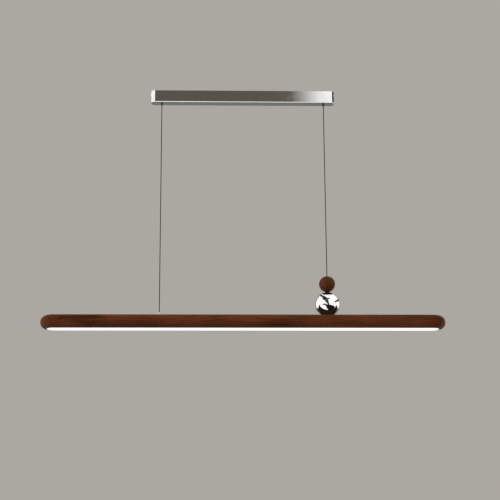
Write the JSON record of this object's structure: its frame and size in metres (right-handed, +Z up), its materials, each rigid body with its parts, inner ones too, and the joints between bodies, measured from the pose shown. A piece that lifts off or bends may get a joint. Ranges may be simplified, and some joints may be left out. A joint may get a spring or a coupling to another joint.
{
  "type": "linear pendant lamp",
  "caption": "Linear pendant lamp: rounded walnut bar with a flush lit underside, hung on wires from a slim polished canopy, with a polished and a wooden ball where one wire meets the bar.",
  "frame": {"origin": "on the ceiling plane at the middle of the strap, halfway between its screw slots", "axes": "+Z up out of the ceiling face, +X along the bar towards the balls, -Y towards the viewer"},
  "size_m": [1.2, 0.08, 0.75],
  "materials": {
    "walnut": "oiled, satin, fine straight grain",
    "polished_steel": "mirror polish",
    "black_metal": "satin black",
    "black_wire": "black sheath",
    "zinc_steel": "zinc plate",
    "brass": "plain",
    "white_plastic": "moulded",
    "aluminium": "extruded, mill finish",
    "led_board": "white solder mask",
    "led_lens": "phosphor lens",
    "opal_diffuser": "opal, lit",
    "lead_sleeve": "insulated lead"
  },
  "bodies": {
    "canopy": {"ceiling_strap": "zinc_steel", "canopy_cover": "polished_steel", "cover_screws": "polished_steel", "led_driver": "white_plastic", "strap_screws": "zinc_steel", "terminal_block": "white_plastic", "terminal_screws": "brass", "earth_screw": "brass", "supply_leads": "lead_sleeve", "left_output_lead": "lead_sleeve", "right_output_lead": "lead_sleeve", "left_splice": "zinc_steel", "left_wire_tail": "black_wire", "left_grip_body": "black_metal", "left_grip_nut": "zinc_steel", "left_grip_spring": "zinc_steel", "right_splice": "zinc_steel", "right_wire_tail": "black_wire", "right_grip_body": "black_metal", "right_grip_nut": "zinc_steel", "right_grip_spring": "zinc_steel"},
    "left_nozzle": {"left_grip_nozzle": "black_metal", "left_lock_balls": "zinc_steel"},
    "right_nozzle": {"right_grip_nozzle": "black_metal", "right_lock_balls": "zinc_steel"},
    "left_bend": {"left_wire_bend": "black_wire"},
    "left_wire": {"left_wire": "black_wire"},
    "left_foot": {"left_wire_foot": "black_wire"},
    "right_bend": {"right_wire_bend": "black_wire"},
    "right_wire": {"right_wire": "black_wire"},
    "bar": {"wood_bar": "walnut", "led_channel": "aluminium", "channel_screws": "zinc_steel", "led_boards": "led_board", "led_chips": "led_lens", "diffuser": "opal_diffuser", "left_ferrule": "polished_steel", "left_stud_washer": "zinc_steel", "left_stud_nut": "zinc_steel", "left_wire_stop": "zinc_steel", "left_wire_end": "black_wire", "left_bar_leads": "lead_sleeve", "right_stem": "zinc_steel", "right_stem_washer": "zinc_steel", "right_stem_nut": "zinc_steel", "right_wire_stop": "zinc_steel", "right_wire_end": "black_wire", "right_bar_leads": "lead_sleeve", "chrome_ball": "polished_steel", "ball_collar": "black_metal", "wood_ball": "walnut"}
  },
  "joints": [
    {"name": "fore_aft_swing", "type": "hinge", "parent": "canopy", "child": "left_bend", "pos_m": [-0.25, 0, -0.0435], "axis": [1, 0, 0], "range_deg": [-15, 15]},
    {"name": "right_fore_aft_swing", "type": "hinge", "parent": "canopy", "child": "right_bend", "pos_m": [0.25, 0, -0.0435], "axis": [1, 0, 0], "range_deg": [-15.1, 15.1]},
    {"name": "side_sway", "type": "hinge", "parent": "left_bend", "child": "left_wire", "pos_m": [-0.25, 0, -0.0475], "axis": [0, 1, 0], "range_deg": [-4, 4]},
    {"name": "right_side_sway", "type": "hinge", "parent": "right_bend", "child": "right_wire", "pos_m": [0.25, 0, -0.0475], "axis": [0, 1, 0], "range_deg": [-4.9, 4.9]},
    {"name": "height_adjust", "type": "slide", "parent": "left_wire", "child": "left_foot", "axis": [0, 0, 1], "range_m": [0, 0.25], "deforming": ["left_wire", "right_wire"]},
    {"name": "bar_level", "type": "hinge", "parent": "left_foot", "child": "bar", "pos_m": [-0.25, 0, -0.698], "axis": [0, 1, 0], "range_deg": [-4.1, 4.1]},
    {"name": "left_grip_release", "type": "slide", "parent": "canopy", "child": "left_nozzle", "axis": [0, 0, 1], "range_m": [0, 0.002], "stiffness_N_per_m": 400, "springref_m": -0.004, "deforming": ["left_grip_spring"]},
    {"name": "right_grip_release", "type": "slide", "parent": "canopy", "child": "right_nozzle", "axis": [0, 0, 1], "range_m": [0, 0.002], "stiffness_N_per_m": 400, "springref_m": -0.004, "deforming": ["right_grip_spring"]}
  ],
  "couplings": [
    {"joint": "right_fore_aft_swing", "follows": "fore_aft_swing", "ratio": 1},
    {"joint": "right_side_sway", "follows": "side_sway", "ratio": 1.2031},
    {"joint": "bar_level", "follows": "side_sway", "ratio": -1}
  ]
}
